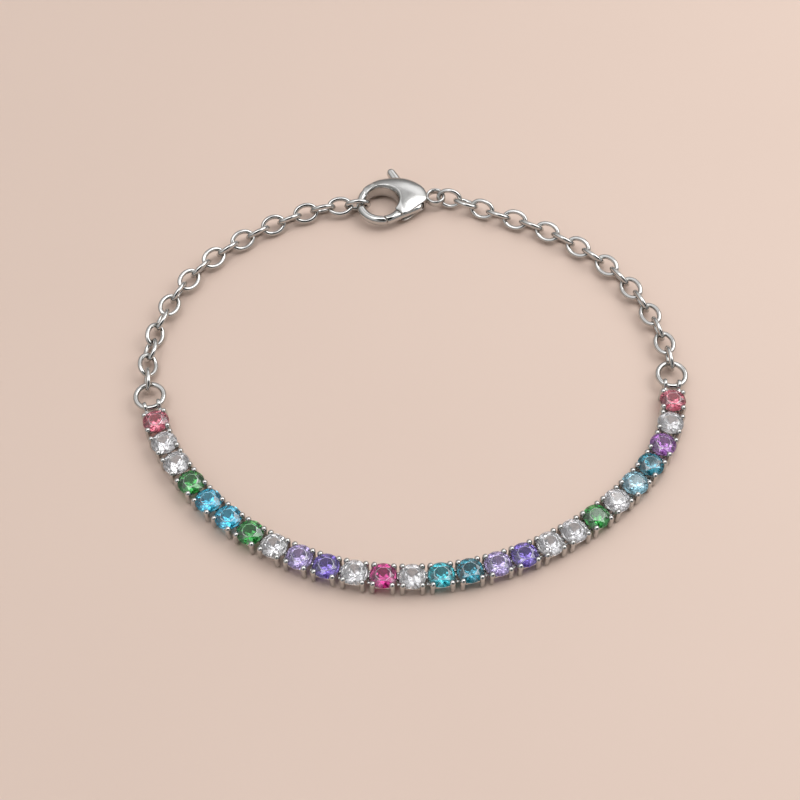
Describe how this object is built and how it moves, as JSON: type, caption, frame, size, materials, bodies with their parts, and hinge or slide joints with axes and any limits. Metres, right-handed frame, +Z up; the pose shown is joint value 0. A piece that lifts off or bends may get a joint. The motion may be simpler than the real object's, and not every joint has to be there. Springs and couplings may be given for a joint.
{
  "type": "tennis bracelet",
  "caption": "Tennis bracelet with a front row of claw-set round stones in mixed pale colours on hinged settings, two cable chains and a lobster clasp with a sprung lever.",
  "frame": {"origin": "centre of the bracelet's plan box, on the surface it lies on", "axes": "+X along the row of stones from left to right, +Y towards the clasp, +Z up from the surface"},
  "size_m": [0.0668, 0.0616, 0.0027],
  "materials": {
    "silver": "polished rhodium-bright silver",
    "aqua_stone": "faceted and polished, aqua",
    "clear_stone": "faceted and polished, clear",
    "fuchsia_stone": "faceted and polished, fuchsia",
    "green_stone": "faceted and polished, green",
    "ice_stone": "faceted and polished, ice",
    "lavender_stone": "faceted and polished, lavender",
    "orchid_stone": "faceted and polished, orchid",
    "rose_stone": "faceted and polished, rose",
    "sky_stone": "faceted and polished, sky",
    "teal_stone": "faceted and polished, teal",
    "violet_stone": "faceted and polished, violet"
  },
  "bodies": {
    "bracelet": {"setting_26": "silver", "stone_26": "rose_stone", "setting_25": "silver", "stone_25": "clear_stone", "setting_24": "silver", "stone_24": "orchid_stone", "setting_23": "silver", "stone_23": "teal_stone", "setting_22": "silver", "stone_22": "ice_stone", "setting_21": "silver", "stone_21": "clear_stone", "setting_20": "silver", "stone_20": "green_stone", "setting_19": "silver", "stone_19": "clear_stone", "setting_18": "silver", "stone_18": "clear_stone", "setting_17": "silver", "stone_17": "violet_stone", "setting_16": "silver", "stone_16": "lavender_stone", "setting_15": "silver", "stone_15": "teal_stone", "setting_14": "silver", "stone_14": "aqua_stone", "setting_13": "silver", "stone_13": "clear_stone", "setting_12": "silver", "stone_12": "fuchsia_stone", "setting_11": "silver", "stone_11": "clear_stone", "setting_10": "silver", "stone_10": "violet_stone", "setting_09": "silver", "stone_09": "lavender_stone", "setting_08": "silver", "stone_08": "clear_stone", "setting_07": "silver", "stone_07": "green_stone", "setting_06": "silver", "stone_06": "sky_stone", "setting_05": "silver", "stone_05": "sky_stone", "setting_04": "silver", "stone_04": "green_stone", "setting_03": "silver", "stone_03": "clear_stone", "setting_02": "silver", "stone_02": "clear_stone", "setting_01": "silver", "stone_01": "rose_stone", "ring_right": "silver", "ring_left": "silver", "chain_right": "silver", "chain_left": "silver", "clasp_body": "silver", "clasp_pin": "silver"},
    "clasp_lever": {"clasp_lever": "silver"}
  },
  "joints": [
    {"name": "clasp_lever_pivot", "type": "hinge", "parent": "bracelet", "child": "clasp_lever", "pos_m": [0.00039, 0.02454, 0.00135], "axis": [0, 0, -1], "range_deg": [0, 22], "stiffness_Nm_per_rad": 0.012}
  ]
}
